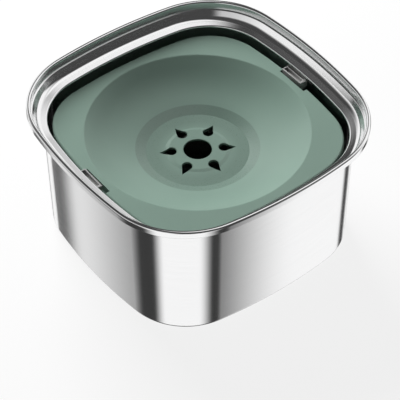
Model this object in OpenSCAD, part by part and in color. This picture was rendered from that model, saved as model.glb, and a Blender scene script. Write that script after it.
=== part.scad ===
// Square dog bowl of drawn steel with a floating drinking disc and two latches.
// Millimetres, +Z up, origin on the floor under the middle of the bowl.

/* [Rim outline] */
// Width across the rim, from side to side
rim_w = 250; // [200:1:300]
// Radius of the bowed sides, seen from above
side_r = 452; // [300:1:800]
// Radius of the rounded corners, seen from above
corner_r = 73; // [55:1:90]

/* [Steel bowl] */
// Height of the rim above the floor
bowl_h = 129; // [110:0.5:170]
// Thickness of the steel sheet
sheet_t = 0.8; // [0.5:0.1:1.2]
// How far the base edge stands inside the rim outline
base_inset = 14.8; // [12.5:0.1:18]
// How far the top of the wall stands inside the rim outline
wall_inset = 13; // [9:0.1:14]
// Radius of the sheet's middle at the base edge
base_edge_r = 3.2; // [2:0.1:6]
// Width of the flat ring round the base
base_ring_w = 17; // [12:0.5:24]
// Height of the pressed panel inside that ring
panel_rise = 1.6; // [1:0.1:3]
// Width of the slope between ring and panel
panel_slope_w = 3; // [2:0.1:5]
// Depth of the lip's fold below the rim
lip_drop = 17; // [14:0.1:22]
// How far the sharp fold line of the lip stands in from the wall
lip_reach = 5.2; // [4:0.1:6]
// Height of the slope under the lip, from the wall to the fold line
lip_rise = 2.6; // [2:0.1:3.5]
// Radius of the sheet's middle at the lip
lip_r = 1.1; // [0.8:0.05:1.4]
// Height gained by the ledge from the lip out to the cove
ledge_rise = 2; // [1:0.1:3]
// Radius of the cove above the ledge
cove_r = 6.5; // [5:0.1:7.5]
// How far the foot of the cove stands inside the rim outline
cove_inset = 8.4; // [7.5:0.1:9.5]
// How far the step in the rim stands inside the rim outline
step_inset = 4.6; // [4.2:0.1:6]
// Depth of that step below the rim
step_drop = 8.3; // [6:0.1:9]
// Width of that step
step_w = 1.2; // [0.8:0.1:2]
// Radius of the sheet's middle where the rim rolls over
roll_r = 1.4; // [1:0.05:1.8]
// Flat on top of the rim, between its two bends
roll_flat = 0.2; // [0.1:0.05:0.5]
// Height of the skirt that hangs outside the rim
skirt_h = 6.2; // [4:0.1:9]

/* [Feet] */
// Diameter of a foot pad
foot_d = 18; // [10:0.5:24]
// Distance of a foot from the middle, along X and along Y
foot_pos = 56; // [40:1:60]
// How far a foot stands below the steel
foot_proud = 0.7; // [0.4:0.1:1.5]
// Bevel round the sole of a foot
foot_bevel = 0.4; // [0.2:0.1:0.6]

/* [Float] */
// Gap between the deck and the lip of the bowl
deck_gap = 3.8; // [3:0.1:6]
// Depth of the deck's top below the rim, when the bowl is full
deck_drop = 23; // [20:0.5:30]
// Wall thickness of both shells of the float
shell_t = 2; // [1.6:0.1:2.4]
// Radius of the shell's middle along the deck's edge
deck_edge_r = 1.1; // [1.0:0.1:3]
// Height of the deck's outer wall
deck_wall_h = 12; // [11:0.5:14]
// Width of the deck between the dish and the notches of the latches
dish_margin = 4.9; // [4:0.1:15]
// Depth of the dish, from the deck to the edge of the well
dish_depth = 20; // [14:0.5:24]
// Share of the dish's lower slope that its rounding takes up
dish_round = 0.64; // [0.4:0.01:0.75]
// Radius of the well at its top edge
well_r = 52.7; // [48:0.1:58]
// Radius of the well's flat bottom
well_floor_r = 43.5; // [40:0.1:46]
// Depth of the well
well_depth = 3.6; // [2:0.1:6]
// Radius of the raised middle of the well
boss_r = 27; // [22:0.1:30]
// Height of that raised middle
boss_rise = 0.8; // [0.4:0.1:1.5]
// Radius of the centre hole
hole_r = 12; // [8:0.1:14]
// Number of drop-shaped slots round the hole
slot_count = 6; // [3:1:8]
// Distance of a slot's round end from the middle, to its centre
slot_pos = 22.1; // [19:0.1:24]
// Radius of a slot's round end
slot_r = 4.4; // [3:0.1:5]
// Distance of a slot's point from the middle
slot_tip = 32.3; // [28:0.1:34]
// Depth of the float below the bottom of the well
hull_drop = 8.4; // [6:0.1:14]
// Radius of the shell's middle at the hull's lower edge
hull_edge_r = 5; // [2:0.1:8]
// How far the hull draws in towards its lower edge
hull_taper = 3; // [1:0.1:5]
// Radius of the hull's inner tube
tube_r = 38; // [35:0.1:39]
// Height of the tongue that locates the hull inside the deck's wall
tongue_h = 3; // [2:0.1:4]
// Thickness of that tongue
tongue_t = 1.2; // [1:0.1:1.6]
// Clearance round that tongue
tongue_gap = 0.15; // [0.1:0.05:0.3]

/* [Latches] */
// Length of a latch along the side of the bowl
latch_l = 24.6; // [18:0.1:30]
// Length of its notch in the deck
notch_l = 32; // [28:0.1:40]
// Clearance between the latch and the closed end of its notch
latch_end_gap = 0.4; // [0.2:0.1:1]
// Depth of the notch from the deck's edge
notch_depth = 4.9; // [3:0.1:5.5]
// Depth of the notch below the deck's top
notch_h = 6.5; // [5:0.1:7]
// Travel of a latch towards the middle
latch_travel = 1.9; // [1.5:0.1:2.2]
// Clearance between a latch and the bottom of its notch
latch_gap = 0.3; // [0.2:0.05:0.5]
// How far the latch reaches under the lip
latch_hold = 1.2; // [0.8:0.1:1.4]
// Gap between the latch and the lip above it, where it stops the float of a full bowl
latch_lift_gap = 0.1; // [0.05:0.05:1]
// How far the latch frame stands above the deck
latch_proud = 2; // [1:0.1:3]
// Thickness of the latch's inner wall, which a finger pushes
latch_rim = 1.2; // [0.8:0.1:1.6]
// Thickness of the latch's rib and of its end wall at the closed end of the notch
latch_wall = 0.9; // [0.6:0.1:1.2]
// Thickness of the latch's end wall at the open end of the notch
latch_end_t = 2.4; // [1.5:0.1:3]
// Thickness of the upright that goes under the lip
hook_t = 1; // [0.8:0.1:1.4]
// Width of the groove between the rib and that upright
groove_w = 1.1; // [0.8:0.1:1.5]
// Depth of the grooves in the latch
groove_depth = 3.4; // [2:0.1:4]
// Bevel under the outer edge of the latch
latch_bevel = 2.6; // [1:0.1:3]
// Small bevel on the latch's upper edges
latch_edge = 0.4; // [0.2:0.1:0.6]
// Width of the key's neck under the latch
key_w = 5; // [4:0.1:7]
// Width of the key's foot
key_foot_w = 9; // [7.5:0.1:12]
// Height of the key's neck
key_neck_h = 1.4; // [1:0.1:1.8]
// Thickness of the key's foot
key_foot_t = 1.4; // [1:0.1:1.8]
// How far the key reaches inwards from the latch
key_reach = 7; // [5:0.1:7.5]
// Clearance round the key in its groove
key_gap = 0.25; // [0.2:0.05:0.4]

/* [Hidden] */
$fa = 2;
$fs = 0.6;
steel_tint = [0.78, 0.79, 0.80];
green_tint = [0.47, 0.56, 0.51];
grey_tint = [0.62, 0.62, 0.61];
pad_tint = [0.20, 0.21, 0.21];
// Largest distance between a bend of a section and its straight facets
bend_error = 0.02;
// How far a cut runs past a face, and how far one piece of a solid laps into the next
past = 1;
lap = 0.7;
// A corner's sheet is this much thinner on each face than a side's, and a flat plate twice as much,
// so that each can lap into its neighbour
thin = 0.03;

// Outline seen from above: four bowed sides and four corners, which run into each other.
// The centre of the +X side's arc lies on the X axis, that of a corner's arc on the diagonal.
quarter_turn = 90;
side_c = rim_w / 2 - side_r;
arcs_apart = side_r - corner_r;
corner_c = (side_c + sqrt(2 * arcs_apart * arcs_apart - side_c * side_c)) / 2;
side_turn = atan2(corner_c, corner_c - side_c);
corner_turn = quarter_turn - 2 * side_turn;
lap_turn = lap / corner_r * 180 / PI;
// Facets of a whole turn along the corners and the sides, and of one arc of a plate
corner_fn = 180;
side_fn = 250;
plate_steps = 12;

// Bends of the steel's middle surface, and the flat that ends the sweep on the panel
panel_bend_r = 1.4;
neck_r = 1.6;
step_bend_r = 0.6;
step_rise = 0.8;
panel_flat_w = 4;

// Heights and insets of the steel's middle surface
base_z = foot_proud + sheet_t / 2;
panel_z = base_z + panel_rise;
base_s = base_inset + sheet_t / 2;
wall_s = wall_inset + sheet_t / 2;
ring_end_s = base_s + base_ring_w;
panel_s = ring_end_s + panel_slope_w;
panel_edge_s = panel_s + panel_flat_w;
rim_z = bowl_h - sheet_t / 2;
skirt_s = sheet_t / 2;
roll_s = skirt_s + 2 * roll_r + roll_flat;
lip_z = bowl_h - lip_drop;
lip_s = wall_s + lip_reach;
step_z = bowl_h - step_drop;
bowl_path = [
    [panel_edge_s, panel_z, 0],
    [panel_s, panel_z, panel_bend_r],
    [ring_end_s, base_z, panel_bend_r],
    [base_s, base_z, base_edge_r],
    [wall_s, lip_z - lip_rise, neck_r],
    [lip_s, lip_z, lip_r],
    [cove_inset, lip_z + ledge_rise, cove_r],
    [step_inset, step_z, step_bend_r],
    [step_inset - step_w, step_z + step_rise, step_bend_r],
    [roll_s, rim_z, roll_r],
    [skirt_s, rim_z, roll_r],
    [skirt_s, bowl_h - skirt_h, 0],
];
lip_corner = 5;
// Inset of the lip's inner face, where the mouth of the bowl is narrowest
mouth_s = bend_centre(bowl_path, lip_corner).x + lip_r + sheet_t / 2;
// Height of the lip's lower face at an inset of s
lip_fall = lip_rise / lip_reach;
function under_lip(s) = lip_z - (lip_s - s) * lip_fall - sheet_t / 2 * sqrt(1 + lip_fall * lip_fall);

// Inset of a point near the middle of the +X side
function inset_at(x, y) = side_r - norm([x - side_c, y]);

// Bends of the float's shells, and the flats that end a sweep on a plate
dish_rim_r = 1.6;
dish_sag = 0.68;
well_edge_r = 1.4;
well_foot_r = 2.2;
boss_bend_r = 2;
boss_slope_w = 3;
deck_flat_w = 1.5;
dish_flat_w = 2.5;
tongue_bend_r = 0.8;

// Float
deck_z = bowl_h - deck_drop;
deck_s = mouth_s + deck_gap;
deck_half = rim_w / 2 - deck_s;
deck_mid_z = deck_z - shell_t / 2;
deck_mid_s = deck_s + shell_t / 2;
plate_s = deck_mid_s + deck_edge_r + deck_flat_w;
seam_z = deck_z - deck_wall_h;
deck_edge_path = [
    [plate_s, deck_mid_z, 0],
    [deck_mid_s, deck_mid_z, deck_edge_r],
    [deck_mid_s, seam_z, 0],
];
notch_x = deck_half - notch_depth;
dish_r = notch_x - dish_margin;
plate_hole_r = dish_r + dish_flat_w;
well_edge_z = deck_mid_z - dish_depth;
well_z = well_edge_z - well_depth;
boss_z = well_z + boss_rise;
// The dish bends halfway down its slope, where a steeper upper part meets a flatter lower part
dish_bend_r = (dish_r + well_r) / 2;
dish_bend_z = deck_mid_z - dish_sag * dish_depth;
upper_fall = atan2(deck_mid_z - dish_bend_z, dish_r - dish_bend_r);
lower_fall = atan2(dish_bend_z - well_edge_z, dish_bend_r - well_r);
lower_l = norm([dish_bend_r - well_r, dish_bend_z - well_edge_z]);
dish_round_r = dish_round * lower_l / tan((upper_fall - lower_fall) / 2);
dish_path = [
    [plate_hole_r, deck_mid_z, 0],
    [dish_r, deck_mid_z, dish_rim_r],
    [dish_bend_r, dish_bend_z, dish_round_r],
    [well_r, well_edge_z, well_edge_r],
    [well_floor_r, well_z, well_foot_r],
    [boss_r, well_z, boss_bend_r],
    [boss_r - boss_slope_w, boss_z, boss_bend_r],
    [hole_r, boss_z, 0],
];
well_under_z = well_z - shell_t / 2;
hull_z = well_z + shell_t / 2 - hull_drop;
hull_mid_z = hull_z + shell_t / 2;
hull_plate_s = deck_mid_s + hull_taper + hull_edge_r + deck_flat_w;
hull_path = [
    [hull_plate_s, hull_mid_z, 0],
    [deck_mid_s + hull_taper, hull_mid_z, hull_edge_r],
    [deck_mid_s, seam_z - tongue_h, hull_edge_r],
    [deck_mid_s, seam_z, 0],
];
tongue_s = deck_s + shell_t + tongue_gap + tongue_t / 2;
tongue_z = seam_z - tongue_gap - tongue_t / 2;
tongue_path = [
    [deck_mid_s, tongue_z, 0],
    [tongue_s, tongue_z, tongue_bend_r],
    [tongue_s, seam_z + tongue_h, 0],
];

// Latches, given for the +X side
notch_z = deck_z - notch_h;
latch_in_x = notch_x + latch_travel + latch_gap;
latch_out_x = rim_w / 2 - mouth_s + latch_hold;
latch_y1 = notch_l / 2 - latch_end_gap;
latch_y0 = latch_y1 - latch_l;
latch_mid_y = (latch_y0 + latch_y1) / 2;
latch_z = notch_z + latch_gap;
frame_z = deck_z + latch_proud;
hook_z = under_lip(inset_at(latch_out_x, latch_y1)) - latch_lift_gap;
hook_in_x = latch_out_x - hook_t;
key_in_x = latch_in_x - key_reach;
key_slot_z = notch_z - key_neck_h;
key_floor_z = key_slot_z - key_foot_t - 2 * key_gap;
block_in_x = key_in_x - latch_travel - key_gap - shell_t;
block_out_x = deck_half - shell_t / 2;
block_z = key_floor_z - shell_t;

// Geometry of a bent sheet: a path is a list of [inset or radius, height, bend radius]
function unit(v) = v / norm(v);
function xy(p) = [p.x, p.y];
function leg(path, i) = unit(xy(path[i + 1]) - xy(path[i]));
function left_of(d) = [-d.y, d.x];
function bend_turn(path, i) = acos(max(-1, min(1, leg(path, i - 1) * leg(path, i))));
function bend_side(path, i) = sign(cross(leg(path, i - 1), leg(path, i)));
function bend_start(path, i) =
    xy(path[i]) - leg(path, i - 1) * path[i].z * tan(bend_turn(path, i) / 2);
function bend_centre(path, i) =
    bend_start(path, i) + bend_side(path, i) * path[i].z * left_of(leg(path, i - 1));
function turned(v, a) = [v.x * cos(a) - v.y * sin(a), v.x * sin(a) + v.y * cos(a)];
function bend(path, i) =
    let (turn = bend_turn(path, i), start = bend_start(path, i), centre = bend_centre(path, i))
    let (steps = max(2, ceil(turn / (2 * acos(1 - bend_error / path[i].z)))))
    [for (k = [0:steps]) centre + turned(start - centre, bend_side(path, i) * turn * k / steps)];
function rounded(path) = [
    for (i = [0:len(path) - 1])
        each (i == 0 || i == len(path) - 1 || path[i].z == 0 ? [xy(path[i])] : bend(path, i))
];
// Points of a line moved sideways by h, mitred where it turns
function moved(line, h) = [
    for (i = [0:len(line) - 1])
        let (before = left_of(unit(line[max(i, 1)] - line[max(i, 1) - 1])))
        let (last = len(line) - 2)
        let (after = left_of(unit(line[min(i, last) + 1] - line[min(i, last)])))
        line[i] + h * (before + after) / (1 + before * after)
];
function reversed(list) = [for (i = [len(list) - 1:-1:0]) list[i]];
// Closed section of a sheet of thickness t that follows a path
function sheet(path, t) =
    let (line = rounded(path))
    concat(moved(line, t / 2), reversed(moved(line, -t / 2)));

// Carries a bent sheet, given by its path and thickness, round the outline
module around(path, t) {
    for (quarter = [0:3])
        rotate(quarter_turn * quarter) {
            translate([side_c, 0, 0])
                rotate_extrude(start = -side_turn, angle = 2 * side_turn, $fn = side_fn)
                    section(side_r, path, t);
            translate([corner_c, corner_c, 0])
                rotate_extrude(
                    start = side_turn - lap_turn, angle = corner_turn + 2 * lap_turn, $fn = corner_fn
                )
                    section(corner_r, path, t - 2 * thin);
        }
}

// Section of a sheet whose path gives insets from an arc of radius r
module section(r, path, t) {
    polygon([for (p = sheet(path, t)) [r - p.x, p.y]]);
}

// Points of the outline at an inset of s
function arc_points(centre, r, from, turn, steps) = [
    for (i = [0:steps - 1]) centre + turned([r, 0], from + turn * i / steps)
];
function outline_points(s) = [
    for (quarter = [0:3])
        each [
            for (p = concat(
                arc_points([side_c, 0], side_r - s, -side_turn, 2 * side_turn, plate_steps),
                arc_points([corner_c, corner_c], corner_r - s, side_turn, corner_turn, plate_steps)
            ))
                turned(p, quarter_turn * quarter)
        ]
];

// Flat plate of a sheet of thickness t round height z, out to an inset of s and a lap into the sheet there
module plate(s, z, t) {
    plate_t = t - 4 * thin;
    translate([0, 0, z - plate_t / 2])
        linear_extrude(plate_t)
            polygon(outline_points(s - lap));
}

// A box given by its lowest and highest corners
module box(low, high) {
    translate(low)
        cube(high - low);
}

module steel_bowl() {
    color(steel_tint) {
        around(bowl_path, sheet_t);
        plate(panel_edge_s, panel_z, sheet_t);
    }
}

module foot(i) {
    top = foot_proud + panel_rise;
    side = [i == 0 || i == 3 ? 1 : -1, i < 2 ? 1 : -1];
    color(pad_tint)
        translate([side.x * foot_pos, side.y * foot_pos, 0])
            rotate_extrude()
                polygon([
                    [0, 0],
                    [foot_d / 2 - foot_bevel, 0],
                    [foot_d / 2, foot_bevel],
                    [foot_d / 2, top],
                    [0, top],
                ]);
}

module drop_slot() {
    lean = acos(slot_r / (slot_tip - slot_pos));
    steps = 24;
    polygon(concat(
        [[slot_tip, 0]],
        [
            for (i = [0:steps])
                let (a = lean + (360 - 2 * lean) * i / steps)
                [slot_pos + slot_r * cos(a), slot_r * sin(a)]
        ]
    ));
}

// Block under the deck that holds the notch and the key's groove
module latch_block() {
    half = key_foot_w / 2 + key_gap + shell_t;
    box([block_in_x, latch_mid_y - half, block_z],
        [block_out_x, latch_mid_y + half, key_slot_z + shell_t]);
    box([notch_x - shell_t, -notch_l / 2 - shell_t, notch_z - shell_t],
        [block_out_x, notch_l / 2 + shell_t, deck_mid_z]);
}

// What the latch needs cut out of the deck: the notch, the neck's slot and the foot's slot
module latch_room() {
    out_x = deck_half + past;
    neck_half = key_w / 2 + key_gap;
    foot_half = key_foot_w / 2 + key_gap;
    box([notch_x, -notch_l / 2, notch_z], [out_x, notch_l / 2, deck_z + past]);
    box([notch_x, latch_mid_y - neck_half, key_floor_z],
        [out_x, latch_mid_y + neck_half, notch_z + past]);
    box([key_in_x - latch_travel - key_gap, latch_mid_y - foot_half, key_floor_z],
        [out_x, latch_mid_y + foot_half, key_slot_z]);
}

module on_both_sides() {
    children();
    mirror([1, 0, 0])
        children();
}

module float_deck() {
    color(green_tint)
        difference() {
            union() {
                around(deck_edge_path, shell_t);
                difference() {
                    plate(plate_s, deck_mid_z, shell_t);
                    translate([0, 0, deck_z - shell_t - past])
                        cylinder(r = plate_hole_r - lap, h = shell_t + 2 * past);
                }
                rotate_extrude()
                    polygon(sheet(dish_path, shell_t));
                on_both_sides()
                    latch_block();
            }
            on_both_sides()
                latch_room();
            for (i = [0:slot_count - 1])
                rotate(360 / slot_count * (i + 0.5))
                    translate([0, 0, well_under_z - past])
                        linear_extrude(shell_t + boss_rise + 2 * past)
                            drop_slot();
        }
}

// Where the tongue stops short of a latch block
module tongue_relief() {
    half = key_foot_w / 2 + shell_t + key_gap + tongue_gap;
    box([block_in_x, latch_mid_y - half, seam_z],
        [deck_half, latch_mid_y + half, seam_z + tongue_h + past]);
}

module float_hull() {
    color(green_tint) {
        around(hull_path, shell_t);
        difference() {
            around(tongue_path, tongue_t);
            on_both_sides()
                tongue_relief();
        }
        difference() {
            plate(hull_plate_s, hull_mid_z, shell_t);
            translate([0, 0, hull_z - past])
                cylinder(r = tube_r + shell_t / 2, h = shell_t + 2 * past);
        }
        difference() {
            translate([0, 0, hull_z])
                cylinder(r = tube_r + shell_t, h = well_under_z - hull_z);
            translate([0, 0, hull_z - past])
                cylinder(r = tube_r, h = well_under_z - hull_z + 2 * past);
        }
    }
}

// Section of the latch, seen along the side of the bowl
module latch_section() {
    polygon([
        [latch_in_x, latch_z],
        [latch_out_x - latch_bevel, latch_z],
        [latch_out_x, latch_z + latch_bevel],
        [latch_out_x, hook_z],
        [hook_in_x, hook_z + hook_t * lip_fall],
        [hook_in_x, frame_z],
        [latch_in_x + latch_edge, frame_z],
        [latch_in_x, frame_z - latch_edge],
    ]);
}

module latch() {
    rib_x = hook_in_x - groove_w;
    grip_y0 = latch_y0 + latch_end_t;
    grip_y1 = latch_y1 - latch_wall;
    floor_z = frame_z - groove_depth;
    foot_top_z = key_slot_z - key_gap;
    color(grey_tint) {
        difference() {
            translate([0, latch_y1, 0])
                rotate([90, 0, 0])
                    linear_extrude(latch_l)
                        latch_section();
            box([latch_in_x + latch_rim, grip_y0, floor_z], [rib_x - latch_wall, grip_y1, frame_z + past]);
            box([rib_x, grip_y0, floor_z], [hook_in_x, grip_y1, frame_z + past]);
        }
        key(latch_in_x + latch_rim, key_w, foot_top_z - lap, latch_z + lap);
        key(key_in_x, key_foot_w, foot_top_z - key_foot_t, foot_top_z);
    }
}

module key(x, w, z0, z1) {
    box([x, latch_mid_y - w / 2, z0], [deck_half, latch_mid_y + w / 2, z1]);
}

module latch_right() {
    latch();
}

module latch_left() {
    mirror([1, 0, 0])
        latch();
}

steel_bowl();
for (i = [0:3])
    foot(i);
float_deck();
float_hull();
latch_right();
latch_left();
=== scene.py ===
"""Looks of a square steel dog bowl with a floating green disc and two grey latches.

Metres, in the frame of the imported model: +Z up, origin on the floor under the middle of the bowl.
"""
import math

import bmesh
import bpy
from mathutils import Matrix, Vector


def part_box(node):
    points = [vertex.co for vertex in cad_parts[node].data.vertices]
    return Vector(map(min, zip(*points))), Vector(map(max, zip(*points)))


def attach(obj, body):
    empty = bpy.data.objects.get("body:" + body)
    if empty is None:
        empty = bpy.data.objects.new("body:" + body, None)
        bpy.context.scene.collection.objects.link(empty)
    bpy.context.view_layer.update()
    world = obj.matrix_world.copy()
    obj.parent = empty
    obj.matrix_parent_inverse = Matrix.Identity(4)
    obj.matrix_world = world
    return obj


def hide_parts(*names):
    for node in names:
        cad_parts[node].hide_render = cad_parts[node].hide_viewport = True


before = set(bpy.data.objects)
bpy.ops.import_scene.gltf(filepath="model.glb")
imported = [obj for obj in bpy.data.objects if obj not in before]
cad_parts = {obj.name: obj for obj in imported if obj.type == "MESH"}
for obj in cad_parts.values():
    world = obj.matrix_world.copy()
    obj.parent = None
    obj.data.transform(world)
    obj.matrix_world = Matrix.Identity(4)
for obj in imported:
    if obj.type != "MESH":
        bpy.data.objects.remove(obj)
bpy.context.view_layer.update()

MM = 0.001

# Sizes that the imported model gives
BOWL_LOW, BOWL_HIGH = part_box("steel_bowl")
_, DECK_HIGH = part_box("float_deck")
LATCH_LOW, LATCH_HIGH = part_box("latch_right")
RIM_HALF = BOWL_HIGH.x
BOWL_H = BOWL_HIGH.z
DECK_Z = DECK_HIGH.z
DECK_HALF = DECK_HIGH.x

# Outline seen from above: bowed sides that run into rounded corners
SIDE_R = 452 * MM
CORNER_R = 73 * MM
SIDE_STEPS = 24
CORNER_STEPS = 48

# Steel sheet, by its middle surface
SHEET_T = 0.8 * MM
BASE_INSET = 14.8 * MM
WALL_INSET = 13 * MM
BASE_EDGE_R = 3.2 * MM
BASE_RING_W = 17 * MM
PANEL_RISE = 1.6 * MM
PANEL_SLOPE_W = 3 * MM
PANEL_BEND_R = 1.4 * MM
PANEL_FLAT_W = 4 * MM
LIP_DROP = 17 * MM
LIP_REACH = 5.2 * MM
LIP_RISE = 2.6 * MM
LIP_R = 1.1 * MM
NECK_R = 1.6 * MM
LEDGE_RISE = 2 * MM
COVE_R = 6.5 * MM
COVE_INSET = 8.4 * MM
STEP_INSET = 4.6 * MM
STEP_DROP = 8.3 * MM
STEP_W = 1.2 * MM
STEP_RISE = 0.8 * MM
STEP_BEND_R = 0.6 * MM
ROLL_R = 1.4 * MM
ROLL_FLAT = 0.2 * MM
SKIRT_H = 6.2 * MM
SKIRT_END_STEPS = 8
BEND_STEP = math.radians(7)

# Deck of the float, by its middle surface
SHELL_T = 2 * MM
SEAM_DROP = 12 * MM
DECK_EDGE_R = 1.1 * MM
DECK_FLAT_W = 1.5 * MM
DISH_R = 94.5 * MM
DISH_FLAT_W = 2.5 * MM
DISH_RIM_R = 1.6 * MM
DISH_DEPTH = 20 * MM
DISH_SAG = 0.68
DISH_ROUND = 0.64
DISH_STEP = math.radians(4)
WELL_R = 52.7 * MM
WELL_EDGE_R = 1.4 * MM
WELL_FLOOR_R = 43.5 * MM
WELL_FOOT_R = 2.2 * MM
WELL_DEPTH = 3.6 * MM
BOSS_R = 27 * MM
BOSS_SLOPE_W = 3 * MM
BOSS_BEND_R = 2 * MM
BOSS_RISE = 0.8 * MM
HOLE_R = 12 * MM
HOLE_BEVEL = 0.3 * MM
SLOT_COUNT = 6
SLOT_POS = 22.1 * MM
SLOT_R = 4.4 * MM
SLOT_TIP = 32.3 * MM
SLOT_BEVEL = 0.35 * MM
SLOT_STEPS = 32
DECK_SHARP = math.radians(32)

# Heights of the deck's middle surface
DECK_MID_Z = DECK_Z - SHELL_T / 2
WELL_EDGE_Z = DECK_MID_Z - DISH_DEPTH
WELL_Z = WELL_EDGE_Z - WELL_DEPTH
BOSS_Z = WELL_Z + BOSS_RISE

# Latches and their notches, given for the +X side
NOTCH_L = 32 * MM
NOTCH_DEPTH = 4.9 * MM
NOTCH_H = 6.5 * MM
LATCH_TRAVEL = 1.9 * MM
LATCH_GAP = 0.3 * MM
LATCH_PROUD = 2 * MM
LATCH_RIM = 1.2 * MM
LATCH_WALL = 0.9 * MM
LATCH_END_T = 2.4 * MM
HOOK_T = 1 * MM
GROOVE_W = 1.1 * MM
GROOVE_DEPTH = 3.4 * MM
LATCH_BEVEL = 2.6 * MM
LATCH_EDGE = 0.35 * MM
LATCH_EDGE_SEGMENTS = 2
LATCH_EDGE_FROM = math.radians(35)
LATCH_SHARP = math.radians(40)
KEY_W = 5 * MM
KEY_FOOT_W = 9 * MM
KEY_NECK_H = 1.4 * MM
KEY_FOOT_T = 1.4 * MM
KEY_GAP = 0.25 * MM
PAST = 1 * MM
NOTCH_X = DECK_HALF - NOTCH_DEPTH
NOTCH_Z = DECK_Z - NOTCH_H
KEY_Y = (LATCH_LOW.y + LATCH_HIGH.y) / 2

# Materials, each with a darker and a lighter tone
NOISE_RANGE = (0.3, 0.7)
STEEL_TONES = ((0.89, 0.89, 0.893), (0.94, 0.94, 0.942))
STEEL_ROUGHNESS = (0.10, 0.14)
STEEL_ANISOTROPY = 0.75
STEEL_GRAIN = (30, 30, 4000)
GREEN_TONES = ((0.205, 0.297, 0.250), (0.220, 0.315, 0.266))
GREY_TONES = ((0.34, 0.34, 0.335), (0.38, 0.38, 0.375))
PLASTIC_ROUGHNESS = 0.42
PLASTIC_GRAIN = 1500
RUBBER_TONES = ((0.03, 0.031, 0.031), (0.045, 0.046, 0.046))
RUBBER_ROUGHNESS = 0.75
RUBBER_GRAIN = 700
ROUGHNESS_SPREAD = 0.04
SPECULAR_LEVEL = 0.6
CLOUD_SCALE = 14
NOISE_DETAIL = 3
GRAIN_DETAIL = 2
GRAIN_BUMP = 0.12
GRAIN_HEIGHT = 0.05 * MM

# Painted shade in the well: how much darker the plastic is painted there, and how much smoother it
# is
WELL_SHADE_EDGE = 0.8 * MM
WELL_SHADE_BOSS_R = 36 * MM
WELL_SHADE_BOSS = 0.45
WELL_PAINTED_SHADE = 0.78
WELL_GLOSS = 0.7

# Camera, fitted to the photograph
CAMERA_LENS = 162.44
CAMERA_SENSOR = 36
CAMERA_DISTANCE = 1.5693
CAMERA_ELEVATION = math.radians(45.87)
CAMERA_YAW = math.radians(36.47)
CAMERA_ROLL = -0.0046
AIM_RIGHT = 1.68 * MM
AIM_UP = 15.84 * MM

# Light on the object
KEY_TURN = math.radians(27)
KEY_ELEVATION = math.radians(37)
KEY_DISTANCE = 1.8
KEY_SIZE = 1.0
KEY_POWER = 55
AMBIENT = 0.05

# Floor: partly a glow for the camera, so that it stays pale
FLOOR_HALF = 4
FLOOR_T = 0.02
FLOOR_TONE = 0.85
FLOOR_ROUGHNESS = 0.9
FLOOR_GLOW = 0.85

# The studio that the steel mirrors. Below the horizon it is a bright ring with dark cards in it,
# and dark straight underneath. Above the horizon it is dark, with a low window and a soft box.
# A card, like the bar in the window, is given in degrees round the bowl: its start, its end, and
# the widths of its soft edges. Other pairs say where a soft edge starts and where it ends.
STUDIO_LEVEL = 1
STUDIO_DARK = 0.045
SKY_DARK = 0.06
HORIZON = (-0.12, 0.08)
UNDERSIDE = (-0.98, -0.86)
CARDS = (
    (104, 107, 6, 8),
    (163, 177, 62, 22),
    (281, 283, 27, 34),
    (366, 373, 10, 16),
    (415, 420, 25, 25),
)
WINDOW_TURN = math.radians(100)
WINDOW_EDGES = (-0.62, -0.4)
WINDOW_TOP = (0.62, 0.08)
WINDOW_HIGH_TURN = math.radians(25)
WINDOW_TILT = 0.62
WINDOW_BAR = (48, 66, 5, 6)
SOFTBOX_TURN = math.radians(8)
SOFTBOX_HEIGHT = math.radians(66)
SOFTBOX_EDGES = (math.cos(math.radians(27)), math.cos(math.radians(17)))


# Geometry of a bent sheet

def left_of(v):
    return Vector((-v.y, v.x))


def rotated(v, angle):
    c, s = math.cos(angle), math.sin(angle)
    return Vector((c * v.x - s * v.y, s * v.x + c * v.y))


def bent(path, step=BEND_STEP):
    """Points along a path of (place, height, bend radius), each with the normal on its left."""
    spots = [Vector(p[:2]) for p in path]
    legs = [(b - a).normalized() for a, b in zip(spots, spots[1:])]
    line = [(spots[0], left_of(legs[0]))]
    for spot, (_, _, radius), before, after in zip(spots[1:], path[1:], legs, legs[1:]):
        turn = math.atan2(before.cross(after), before.dot(after))
        start = spot - before * radius * math.tan(abs(turn) / 2)
        centre = start + left_of(before) * math.copysign(radius, turn)
        steps = max(2, math.ceil(abs(turn) / step))
        for k in range(steps + 1):
            angle = turn * k / steps
            line.append((centre + rotated(start - centre, angle), rotated(left_of(before), angle)))
    line.append((spots[-1], left_of(legs[-1])))
    return line


def face_of(line, offset):
    """The points of a bent line, moved along their normals."""
    return [p + n * offset for p, n in line]


def sheet_loop(line, thickness, end_steps):
    """Closed section of a sheet: its left face out, a round end, its right face back."""
    half = thickness / 2
    left = [(p + n * half, n) for p, n in line]
    right = [(p - n * half, -n) for p, n in reversed(line)]
    end, normal = line[-1]
    turns = [math.pi * k / end_steps for k in range(1, end_steps)]
    round_end = [(end + rotated(normal, -t) * half, rotated(normal, -t)) for t in turns]
    return left + round_end + right


# The outline, as a list of (arc centre, direction from it, arc radius)

SIDE_C = RIM_HALF - SIDE_R
ARCS_APART = SIDE_R - CORNER_R
CORNER_C = (SIDE_C + math.sqrt(2 * ARCS_APART ** 2 - SIDE_C ** 2)) / 2
SIDE_TURN = math.atan2(CORNER_C, CORNER_C - SIDE_C)
CORNER_TURN = math.pi / 2 - 2 * SIDE_TURN


def outline_columns():
    columns = []
    for quarter in range(4):
        base = quarter * math.pi / 2
        arcs = (
            ((SIDE_C, 0), SIDE_R, -SIDE_TURN, 2 * SIDE_TURN, SIDE_STEPS),
            ((CORNER_C, CORNER_C), CORNER_R, SIDE_TURN, CORNER_TURN, CORNER_STEPS),
        )
        for centre, radius, start, turn, steps in arcs:
            for k in range(steps):
                way = rotated(Vector((1, 0)), base + start + turn * k / steps)
                columns.append((rotated(Vector(centre), base), way, radius))
    return columns


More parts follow.
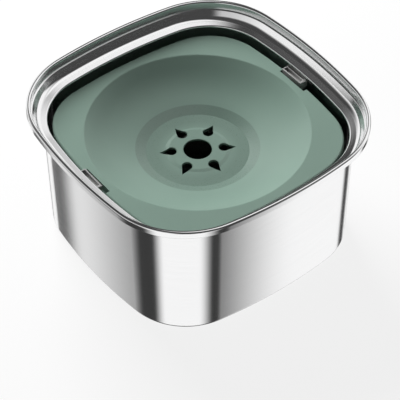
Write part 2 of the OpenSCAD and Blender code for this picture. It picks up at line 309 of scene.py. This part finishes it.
COLUMNS = outline_columns()


def outline_ring(inset, z):
    return [(c + way * (r - inset)).to_3d() + Vector((0, 0, z)) for c, way, r in COLUMNS]


DECK_WAYS = [p.normalized() for p in outline_ring(RIM_HALF - DECK_HALF, 0)]


def circle_ring(radius, z):
    return [way * radius + Vector((0, 0, z)) for way in DECK_WAYS]


# Meshes

def add_object(name, data):
    obj = bpy.data.objects.new(name, data)
    bpy.context.scene.collection.objects.link(obj)
    return obj


def ring_mesh(name, rings, closed):
    """Mesh of rings of equal length; if it isn't closed, its first and last rings are capped."""
    count = len(rings[0])
    verts = [tuple(p) for ring in rings for p in ring]
    spans = len(rings) if closed else len(rings) - 1
    faces = []
    places = []
    for i in range(spans):
        k = (i + 1) % len(rings)
        for j in range(count):
            m = (j + 1) % count
            faces.append((i * count + j, k * count + j, k * count + m, i * count + m))
            places.append(((i, j), (i + 1, j), (i + 1, j + 1), (i, j + 1)))
    if not closed:
        last = (len(rings) - 1) * count
        faces.append(tuple(range(count)))
        faces.append(tuple(reversed(range(last, last + count))))
        places.append([(0, j) for j in range(count)])
        places.append([(spans, count - j) for j in range(count)])
    mesh = bpy.data.meshes.new(name)
    mesh.from_pydata(verts, [], faces)
    grain = mesh.uv_layers.new(name="grain")
    corners = [spot for face in places for spot in face]
    for loop, (row, column) in zip(grain.data, corners):
        loop.uv = (row / len(rings), column / count)
    mesh.shade_smooth()
    return mesh


def box_mesh(name, low, high):
    mesh = bpy.data.meshes.new(name)
    work = bmesh.new()
    size = Vector(high) - Vector(low)
    place = Matrix.Translation((Vector(low) + Vector(high)) / 2) @ Matrix.Diagonal(size.to_4d())
    bmesh.ops.create_cube(work, size=1, matrix=place)
    work.to_mesh(mesh)
    work.free()
    return mesh


def prism_mesh(name, rings):
    """Closed mesh through rings of points, with flat ends."""
    count = len(rings[0])
    verts = [tuple(p) for ring in rings for p in ring]
    faces = [tuple(reversed(range(count)))]
    faces.append(tuple(range((len(rings) - 1) * count, len(rings) * count)))
    for i in range(len(rings) - 1):
        for j in range(count):
            m = (j + 1) % count
            faces.append((i * count + j, i * count + m, (i + 1) * count + m, (i + 1) * count + j))
    mesh = bpy.data.meshes.new(name)
    mesh.from_pydata(verts, [], faces)
    return mesh


def settle(obj):
    """Puts the result of an object's modifiers into its mesh."""
    shown = obj.evaluated_get(bpy.context.evaluated_depsgraph_get())
    mesh = bpy.data.meshes.new_from_object(shown)
    obj.modifiers.clear()
    obj.data = mesh


def combine(obj, operation, meshes):
    """Adds meshes to an object's solid, or cuts them out of it, one after the other."""
    for mesh in meshes:
        tool = add_object("tool", mesh)
        change = obj.modifiers.new("change", "BOOLEAN")
        change.operation = operation
        change.solver = "EXACT"
        change.object = tool
        settle(obj)
        bpy.data.objects.remove(tool)


def smooth(obj, sharp_from):
    obj.data.shade_smooth()
    obj.data.set_sharp_from_angle(angle=sharp_from)


def both_sides(low, high):
    """A box on the +X side and its mirror image."""
    twin_low = (-high[0], low[1], low[2])
    twin_high = (-low[0], high[1], high[2])
    return [box_mesh("box", low, high), box_mesh("box", twin_low, twin_high)]


# Pieces

def make_bowl():
    base_z = BOWL_LOW.z + SHEET_T / 2
    panel_z = base_z + PANEL_RISE
    base_s = BASE_INSET + SHEET_T / 2
    wall_s = WALL_INSET + SHEET_T / 2
    ring_end_s = base_s + BASE_RING_W
    panel_s = ring_end_s + PANEL_SLOPE_W
    rim_z = BOWL_H - SHEET_T / 2
    skirt_s = SHEET_T / 2
    lip_z = BOWL_H - LIP_DROP
    step_z = BOWL_H - STEP_DROP
    insets = [
        (panel_s + PANEL_FLAT_W, panel_z, 0),
        (panel_s, panel_z, PANEL_BEND_R),
        (ring_end_s, base_z, PANEL_BEND_R),
        (base_s, base_z, BASE_EDGE_R),
        (wall_s, lip_z - LIP_RISE, NECK_R),
        (wall_s + LIP_REACH, lip_z, LIP_R),
        (COVE_INSET, lip_z + LEDGE_RISE, COVE_R),
        (STEP_INSET, step_z, STEP_BEND_R),
        (STEP_INSET - STEP_W, step_z + STEP_RISE, STEP_BEND_R),
        (skirt_s + 2 * ROLL_R + ROLL_FLAT, rim_z, ROLL_R),
        (skirt_s, rim_z, ROLL_R),
        (skirt_s, BOWL_H - SKIRT_H + SHEET_T / 2, 0),
    ]
    line = bent([(-s, z, r) for s, z, r in insets])
    loop = sheet_loop(line, SHEET_T, SKIRT_END_STEPS)
    mesh = ring_mesh("bowl_steel", [outline_ring(-p.x, p.y) for p, _ in loop], closed=False)
    normals = [
        (way * n.x).to_3d() + Vector((0, 0, n.y)) for _, n in loop for _, way, _ in COLUMNS
    ]
    mesh.normals_split_custom_set_from_vertices(normals)
    return add_object("bowl_steel", mesh)


def deck_shell():
    """The deck's sheet, from the seam over the edge and down the dish to the centre hole."""
    edge_s = RIM_HALF - DECK_HALF + SHELL_T / 2
    bend_r = (DISH_R + WELL_R) / 2
    bend_z = DECK_MID_Z - DISH_SAG * DISH_DEPTH
    lower = Vector((bend_r - WELL_R, bend_z - WELL_EDGE_Z))
    upper = Vector((DISH_R - bend_r, DECK_MID_Z - bend_z))
    round_r = DISH_ROUND * lower.length / math.tan(lower.angle(upper) / 2)
    edge = bent([
        (-edge_s, DECK_Z - SEAM_DROP, 0),
        (-edge_s, DECK_MID_Z, DECK_EDGE_R),
        (-(edge_s + DECK_EDGE_R + DECK_FLAT_W), DECK_MID_Z, 0),
    ])
    dish = bent([
        (DISH_R + DISH_FLAT_W, DECK_MID_Z, 0),
        (DISH_R, DECK_MID_Z, DISH_RIM_R),
        (bend_r, bend_z, round_r),
        (WELL_R, WELL_EDGE_Z, WELL_EDGE_R),
        (WELL_FLOOR_R, WELL_Z, WELL_FOOT_R),
        (BOSS_R, WELL_Z, BOSS_BEND_R),
        (BOSS_R - BOSS_SLOPE_W, BOSS_Z, BOSS_BEND_R),
        (HOLE_R + HOLE_BEVEL, BOSS_Z, 0),
    ], step=DISH_STEP)
    half = SHELL_T / 2
    rings = [outline_ring(-p.x, p.y) for p in face_of(edge, -half)]
    rings += [circle_ring(p.x, p.y) for p in face_of(dish, -half)]
    rings += [circle_ring(HOLE_R, BOSS_Z + z) for z in (half - HOLE_BEVEL, HOLE_BEVEL - half)]
    rings += [circle_ring(p.x, p.y) for p in reversed(face_of(dish, half))]
    rings += [outline_ring(-p.x, p.y) for p in reversed(face_of(edge, half))]
    return add_object("float_top", ring_mesh("float_top", list(reversed(rings)), closed=True))


def cut_notches(deck):
    """Walls in the two notches, each with a T-shaped groove below it for the latch's key."""
    out_x = DECK_HALF - SHELL_T / 2
    foot_half = KEY_FOOT_W / 2 + KEY_GAP
    neck_half = KEY_W / 2 + KEY_GAP
    slot_z = NOTCH_Z - KEY_NECK_H
    floor_z = slot_z - KEY_FOOT_T - 2 * KEY_GAP
    key_in_x = LATCH_LOW.x - LATCH_TRAVEL - KEY_GAP
    combine(deck, "UNION", both_sides(
        (key_in_x - SHELL_T, KEY_Y - foot_half - SHELL_T, floor_z - SHELL_T),
        (out_x, KEY_Y + foot_half + SHELL_T, slot_z + SHELL_T),
    ) + both_sides(
        (NOTCH_X - SHELL_T, -NOTCH_L / 2 - SHELL_T, NOTCH_Z - SHELL_T),
        (out_x, NOTCH_L / 2 + SHELL_T, DECK_MID_Z),
    ))
    end_x = DECK_HALF + PAST
    combine(deck, "DIFFERENCE", both_sides(
        (NOTCH_X, -NOTCH_L / 2, NOTCH_Z), (end_x, NOTCH_L / 2, DECK_Z + PAST),
    ) + both_sides(
        (NOTCH_X, KEY_Y - neck_half, floor_z), (end_x, KEY_Y + neck_half, NOTCH_Z + PAST),
    ) + both_sides(
        (key_in_x, KEY_Y - foot_half, floor_z), (end_x, KEY_Y + foot_half, slot_z),
    ))


def drop_ring(z, grow):
    """Points of a drop-shaped slot, widened by grow."""
    radius = SLOT_R + grow
    tip = SLOT_TIP + grow * (SLOT_TIP - SLOT_POS) / SLOT_R
    lean = math.acos(radius / (tip - SLOT_POS))
    ring = [Vector((tip, 0, z))]
    for k in range(SLOT_STEPS + 1):
        a = lean + (2 * math.pi - 2 * lean) * k / SLOT_STEPS
        ring.append(Vector((SLOT_POS + radius * math.cos(a), radius * math.sin(a), z)))
    return ring


def cut_slots(deck):
    top_z = BOSS_Z + SHELL_T / 2
    rings = (
        drop_ring(WELL_Z - SHELL_T, 0),
        drop_ring(top_z - SLOT_BEVEL, 0),
        drop_ring(top_z + PAST, SLOT_BEVEL + PAST),
    )
    slots = []
    for i in range(SLOT_COUNT):
        turn = Matrix.Rotation(2 * math.pi / SLOT_COUNT * (i + 0.5), 3, "Z")
        slots.append(prism_mesh("slot", [[turn @ p for p in ring] for ring in rings]))
    combine(deck, "DIFFERENCE", slots)


def make_deck():
    deck = deck_shell()
    cut_notches(deck)
    cut_slots(deck)
    smooth(deck, DECK_SHARP)
    return deck


def make_latch(name, mirror):
    in_x = NOTCH_X + LATCH_TRAVEL + LATCH_GAP
    low_z = NOTCH_Z + LATCH_GAP
    out_x = LATCH_HIGH.x
    hook_z = LATCH_HIGH.z
    hook_in_x = out_x - HOOK_T
    frame_z = DECK_Z + LATCH_PROUD
    hook_fall = HOOK_T * LIP_RISE / LIP_REACH
    section = [
        (in_x, low_z),
        (out_x - LATCH_BEVEL, low_z),
        (out_x, low_z + LATCH_BEVEL),
        (out_x, hook_z - hook_fall),
        (hook_in_x, hook_z),
        (hook_in_x, frame_z),
        (in_x, frame_z),
    ]
    y0, y1 = LATCH_LOW.y, LATCH_HIGH.y
    rings = [[Vector((x, y, z)) for x, z in section] for y in (y1, y0)]
    latch = add_object(name, prism_mesh(name, rings))
    grip_x = in_x + LATCH_RIM
    rib_x = hook_in_x - GROOVE_W
    groove_z = frame_z - GROOVE_DEPTH
    above_z = frame_z + PAST
    grip_y0 = y0 + LATCH_END_T
    grip_y1 = y1 - LATCH_WALL
    combine(latch, "DIFFERENCE", [
        box_mesh("box", (grip_x, grip_y0, groove_z), (rib_x - LATCH_WALL, grip_y1, above_z)),
        box_mesh("box", (rib_x, grip_y0, groove_z), (hook_in_x, grip_y1, above_z)),
    ])
    foot_top = LATCH_LOW.z + KEY_FOOT_T
    combine(latch, "UNION", [
        box_mesh("box", (grip_x, KEY_Y - KEY_W / 2, foot_top - PAST / 2),
                 (DECK_HALF, KEY_Y + KEY_W / 2, low_z + PAST)),
        box_mesh("box", (LATCH_LOW.x, KEY_Y - KEY_FOOT_W / 2, LATCH_LOW.z),
                 (DECK_HALF, KEY_Y + KEY_FOOT_W / 2, foot_top)),
    ])
    if mirror:
        latch.data.transform(Matrix.Scale(-1, 4, (1, 0, 0)))
        latch.data.flip_normals()
    edge = latch.modifiers.new("edge", "BEVEL")
    edge.width = LATCH_EDGE
    edge.segments = LATCH_EDGE_SEGMENTS
    edge.limit_method = "ANGLE"
    edge.angle_limit = LATCH_EDGE_FROM
    settle(latch)
    smooth(latch, LATCH_SHARP)
    return latch


# Node helpers

class Formula:
    """Adds math nodes to a node tree."""

    def __init__(self, tree):
        self.tree = tree

    def run(self, operation, *values):
        node = self.tree.nodes.new("ShaderNodeMath")
        node.operation = operation
        for socket, value in zip(node.inputs, values):
            if isinstance(value, (int, float)):
                socket.default_value = value
            else:
                self.tree.links.new(value, socket)
        return node.outputs[0]

    def fade(self, value, start, end):
        """0 where the value is at start, 1 where it is at end, with a soft change between."""
        node = self.tree.nodes.new("ShaderNodeMapRange")
        node.interpolation_type = "SMOOTHSTEP"
        node.inputs["From Min"].default_value = start
        node.inputs["From Max"].default_value = end
        self.tree.links.new(value, node.inputs["Value"])
        return node.outputs["Result"]

    def mix(self, share, a, b):
        return self.run("ADD", a, self.run("MULTIPLY", share, self.run("SUBTRACT", b, a)))


def split_axes(tree, coordinates):
    """The X, Y and Z of one kind of texture coordinates."""
    place = tree.nodes.new("ShaderNodeTexCoord")
    split = tree.nodes.new("ShaderNodeSeparateXYZ")
    tree.links.new(place.outputs[coordinates], split.inputs[0])
    return {axis: split.outputs[axis] for axis in "XYZ"}


# Materials

def new_material(name):
    material = bpy.data.materials.new(name)
    material.use_nodes = True
    return material, material.node_tree, material.node_tree.nodes["Principled BSDF"]


def stretched(tree, scale):
    """Object coordinates, scaled along each axis."""
    place = tree.nodes.new("ShaderNodeTexCoord")
    mapping = tree.nodes.new("ShaderNodeMapping")
    mapping.inputs["Scale"].default_value = scale
    tree.links.new(place.outputs["Object"], mapping.inputs["Vector"])
    return mapping.outputs["Vector"]


def noise(tree, scale, detail):
    texture = tree.nodes.new("ShaderNodeTexNoise")
    texture.inputs["Scale"].default_value = 1
    texture.inputs["Detail"].default_value = detail
    tree.links.new(stretched(tree, scale), texture.inputs["Vector"])
    return texture.outputs["Fac"]


def ranged(tree, value, low, high):
    """A noise value, mapped to the range from low to high."""
    change = tree.nodes.new("ShaderNodeMapRange")
    change.inputs["From Min"].default_value = NOISE_RANGE[0]
    change.inputs["From Max"].default_value = NOISE_RANGE[1]
    change.inputs["To Min"].default_value = low
    change.inputs["To Max"].default_value = high
    tree.links.new(value, change.inputs["Value"])
    return change.outputs["Result"]


def tinted(tree, value, tones):
    """A noise value, mapped to colours between two tones."""
    ramp = tree.nodes.new("ShaderNodeValToRGB")
    for element, position, tone in zip(ramp.color_ramp.elements, NOISE_RANGE, tones):
        element.position = position
        element.color = (*tone, 1)
    tree.links.new(value, ramp.inputs["Fac"])
    return ramp.outputs["Color"]


def bumped(tree, shader, value):
    bump = tree.nodes.new("ShaderNodeBump")
    bump.inputs["Strength"].default_value = GRAIN_BUMP
    bump.inputs["Distance"].default_value = GRAIN_HEIGHT
    tree.links.new(value, bump.inputs["Height"])
    tree.links.new(bump.outputs["Normal"], shader.inputs["Normal"])


def steel_material():
    """Steel brushed round the bowl: streaks along the mesh's rings, highlights across them."""
    material, tree, shader = new_material("brushed_steel")
    shader.inputs["Metallic"].default_value = 1
    shader.inputs["Anisotropic"].default_value = STEEL_ANISOTROPY
    tangent = tree.nodes.new("ShaderNodeTangent")
    tangent.direction_type = "UV_MAP"
    tangent.uv_map = "grain"
    tree.links.new(tangent.outputs["Tangent"], shader.inputs["Tangent"])
    grain = noise(tree, STEEL_GRAIN, NOISE_DETAIL)
    tree.links.new(tinted(tree, grain, STEEL_TONES), shader.inputs["Base Color"])
    tree.links.new(ranged(tree, grain, *STEEL_ROUGHNESS), shader.inputs["Roughness"])
    return material


def plastic_material(name, tones, roughness, grain_scale):
    material, tree, shader = new_material(name)
    shader.inputs["Specular IOR Level"].default_value = SPECULAR_LEVEL
    cloud = noise(tree, (CLOUD_SCALE,) * 3, NOISE_DETAIL)
    fine = noise(tree, (grain_scale,) * 3, GRAIN_DETAIL)
    rough = ranged(tree, fine, roughness - ROUGHNESS_SPREAD, roughness + ROUGHNESS_SPREAD)
    tree.links.new(tinted(tree, cloud, tones), shader.inputs["Base Color"])
    tree.links.new(rough, shader.inputs["Roughness"])
    bumped(tree, shader, fine)
    return material


def paint_well_shade(material):
    """Paints shade into the plastic in the well and makes it smoother there, less so round the
    hole.
    """
    tree = material.node_tree
    shader = tree.nodes["Principled BSDF"]
    formula = Formula(tree)
    axes = split_axes(tree, "Object")
    across = formula.run("MULTIPLY", axes["X"], axes["X"])
    along = formula.run("MULTIPLY", axes["Y"], axes["Y"])
    radius = formula.run("SQRT", formula.run("ADD", across, along))
    inside = formula.fade(radius, WELL_R, WELL_R - WELL_SHADE_EDGE)
    low = formula.fade(radius, BOSS_R - BOSS_SLOPE_W, WELL_SHADE_BOSS_R)
    shade_and_gloss = formula.run("MULTIPLY", inside, formula.mix(low, WELL_SHADE_BOSS, 1))
    # The darkened base colour is painted shade; the lowered roughness is the smoother finish
    for socket, well_factor in (("Base Color", WELL_PAINTED_SHADE), ("Roughness", WELL_GLOSS)):
        link = shader.inputs[socket].links[0]
        change = tree.nodes.new("ShaderNodeMix")
        change.data_type = "RGBA"
        change.blend_type = "MULTIPLY"
        change.inputs["B"].default_value = (well_factor, well_factor, well_factor, 1)
        tree.links.new(shade_and_gloss, change.inputs["Factor"])
        tree.links.new(link.from_socket, change.inputs["A"])
        tree.links.new(change.outputs["Result"], shader.inputs[socket])


def dress(obj, material):
    obj.data.materials.clear()
    obj.data.materials.append(material)


# Stage

def studio_floor():
    low = (-FLOOR_HALF, -FLOOR_HALF, -FLOOR_T)
    floor = add_object("floor", box_mesh("floor", low, (FLOOR_HALF, FLOOR_HALF, 0)))
    material, tree, shader = new_material("floor_white")
    shader.inputs["Base Color"].default_value = (FLOOR_TONE, FLOOR_TONE, FLOOR_TONE, 1)
    shader.inputs["Roughness"].default_value = FLOOR_ROUGHNESS
    glow = tree.nodes.new("ShaderNodeEmission")
    ray = tree.nodes.new("ShaderNodeLightPath")
    share = Formula(tree).run("MULTIPLY", ray.outputs["Is Camera Ray"], FLOOR_GLOW)
    blend = tree.nodes.new("ShaderNodeMixShader")
    out = tree.nodes["Material Output"]
    tree.links.new(share, blend.inputs["Fac"])
    tree.links.new(shader.outputs["BSDF"], blend.inputs[1])
    tree.links.new(glow.outputs["Emission"], blend.inputs[2])
    tree.links.new(blend.outputs["Shader"], out.inputs["Surface"])
    dress(floor, material)
    floor.visible_glossy = False


def beside_card(formula, axes, card):
    """0 in the directions of a card, 1 beside it."""
    start, end, before, after = card
    turn = formula.run("ARCTAN2", axes["Y"], axes["X"])
    middle = math.radians(start + end) / 2
    half = math.radians(end - start) / 2
    away = formula.run("WRAP", formula.run("SUBTRACT", turn, middle), -math.pi, math.pi)
    ahead = formula.fade(away, half, half + math.radians(after))
    behind = formula.fade(away, -half, -half - math.radians(before))
    return formula.run("MAXIMUM", ahead, behind)


def ring_level(formula, axes):
    """Brightness below the horizon: the ring with its cards, and the dark under the bowl."""
    level = formula.fade(axes["Z"], *UNDERSIDE)
    for card in CARDS:
        level = formula.run("MULTIPLY", level, beside_card(formula, axes, card))
    return formula.run("MAXIMUM", formula.run("MULTIPLY", level, STUDIO_LEVEL), STUDIO_DARK)


def towards(formula, axes, turn):
    """How far a direction points to one side: 1 straight there, -1 straight away."""
    return formula.run(
        "ADD",
        formula.run("MULTIPLY", axes["X"], math.cos(turn)),
        formula.run("MULTIPLY", axes["Y"], math.sin(turn)),
    )


def sky_level(formula, axes):
    """Brightness above the horizon: a low window, higher on one side, and a soft box."""
    high_side = formula.run("MAXIMUM", towards(formula, axes, WINDOW_HIGH_TURN), 0)
    lift = formula.run("MULTIPLY", high_side, WINDOW_TILT)
    window = formula.run(
        "MULTIPLY",
        formula.fade(towards(formula, axes, WINDOW_TURN), *WINDOW_EDGES),
        formula.fade(formula.run("SUBTRACT", axes["Z"], lift), *WINDOW_TOP),
    )
    window = formula.run("MULTIPLY", window, beside_card(formula, axes, WINDOW_BAR))
    box_way = (
        math.cos(SOFTBOX_TURN) * math.cos(SOFTBOX_HEIGHT),
        math.sin(SOFTBOX_TURN) * math.cos(SOFTBOX_HEIGHT),
        math.sin(SOFTBOX_HEIGHT),
    )
    parts = [formula.run("MULTIPLY", axes[axis], share) for axis, share in zip("XYZ", box_way)]
    nearness = formula.run("ADD", formula.run("ADD", parts[0], parts[1]), parts[2])
    bright = formula.run("MAXIMUM", window, formula.fade(nearness, *SOFTBOX_EDGES))
    return formula.run("MULTIPLY", formula.mix(bright, SKY_DARK, 1), STUDIO_LEVEL)


def studio_world():
    """White to the camera, a studio to mirroring surfaces, a weak even light to the rest."""
    world = bpy.data.worlds.new("studio")
    bpy.context.scene.world = world
    world.use_nodes = True
    tree = world.node_tree
    formula = Formula(tree)
    axes = split_axes(tree, "Generated")
    above = formula.fade(axes["Z"], *HORIZON)
    mirrored = formula.mix(above, ring_level(formula, axes), sky_level(formula, axes))
    ray = tree.nodes.new("ShaderNodeLightPath")
    level = formula.mix(ray.outputs["Is Glossy Ray"], AMBIENT, mirrored)
    level = formula.mix(ray.outputs["Is Camera Ray"], level, 1)
    background = tree.nodes["Background"]
    background.inputs["Color"].default_value = (1, 1, 1, 1)
    tree.links.new(level, background.inputs["Strength"])


def camera_axes():
    """Right, up and forward of the fitted camera, before its roll."""
    flat = Vector((math.sin(CAMERA_YAW), math.cos(CAMERA_YAW), 0))
    right = Vector((math.cos(CAMERA_YAW), -math.sin(CAMERA_YAW), 0))
    forward = flat * math.cos(CAMERA_ELEVATION) - Vector((0, 0, math.sin(CAMERA_ELEVATION)))
    return right, right.cross(forward), forward


def place_camera():
    right, up, forward = camera_axes()
    data = bpy.data.cameras.new("camera")
    data.lens = CAMERA_LENS
    data.sensor_width = CAMERA_SENSOR
    camera = add_object("camera", data)
    spot = -CAMERA_DISTANCE * forward
    aim = right * AIM_RIGHT + up * AIM_UP
    turn = (aim - spot).to_track_quat("-Z", "Y").to_matrix().to_4x4()
    camera.matrix_world = Matrix.Translation(spot) @ turn @ Matrix.Rotation(CAMERA_ROLL, 4, "Z")
    bpy.context.scene.camera = camera


def place_key_light():
    """A large lamp behind the bowl, to the left of the camera's line."""
    right, _, forward = camera_axes()
    back = Vector((forward.x, forward.y, 0)).normalized()
    flat = back * math.cos(KEY_TURN) - right * math.sin(KEY_TURN)
    way = flat * math.cos(KEY_ELEVATION) + Vector((0, 0, math.sin(KEY_ELEVATION)))
    data = bpy.data.lights.new("key", "AREA")
    data.size = KEY_SIZE
    data.energy = KEY_POWER
    lamp = add_object("key", data)
    turn = (-way).to_track_quat("-Z", "Y").to_matrix().to_4x4()
    lamp.matrix_world = Matrix.Translation(way * KEY_DISTANCE) @ turn
    lamp.visible_glossy = False


# The scene

STEEL = steel_material()
GREEN = plastic_material("green_plastic", GREEN_TONES, PLASTIC_ROUGHNESS, PLASTIC_GRAIN)
# Painted shade in the well of the green plastic, which is also smoother there
paint_well_shade(GREEN)
GREY = plastic_material("grey_plastic", GREY_TONES, PLASTIC_ROUGHNESS, PLASTIC_GRAIN)
RUBBER = plastic_material("pad_rubber", RUBBER_TONES, RUBBER_ROUGHNESS, RUBBER_GRAIN)

bowl = make_bowl()
dress(bowl, STEEL)
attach(bowl, "bowl")
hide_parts("steel_bowl")

deck = make_deck()
dress(deck, GREEN)
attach(deck, "float")
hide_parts("float_deck")

for side, mirror in (("right", False), ("left", True)):
    latch = make_latch(f"latch_grip_{side}", mirror)
    dress(latch, GREY)
    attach(latch, f"latch_{side}")
    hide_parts(f"latch_{side}")

for name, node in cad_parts.items():
    if name.startswith("foot_"):
        dress(node, RUBBER)
    elif name == "float_hull":
        dress(node, GREEN)

studio_floor()
studio_world()
place_camera()
place_key_light()
bpy.context.scene.view_settings.view_transform = "Standard"
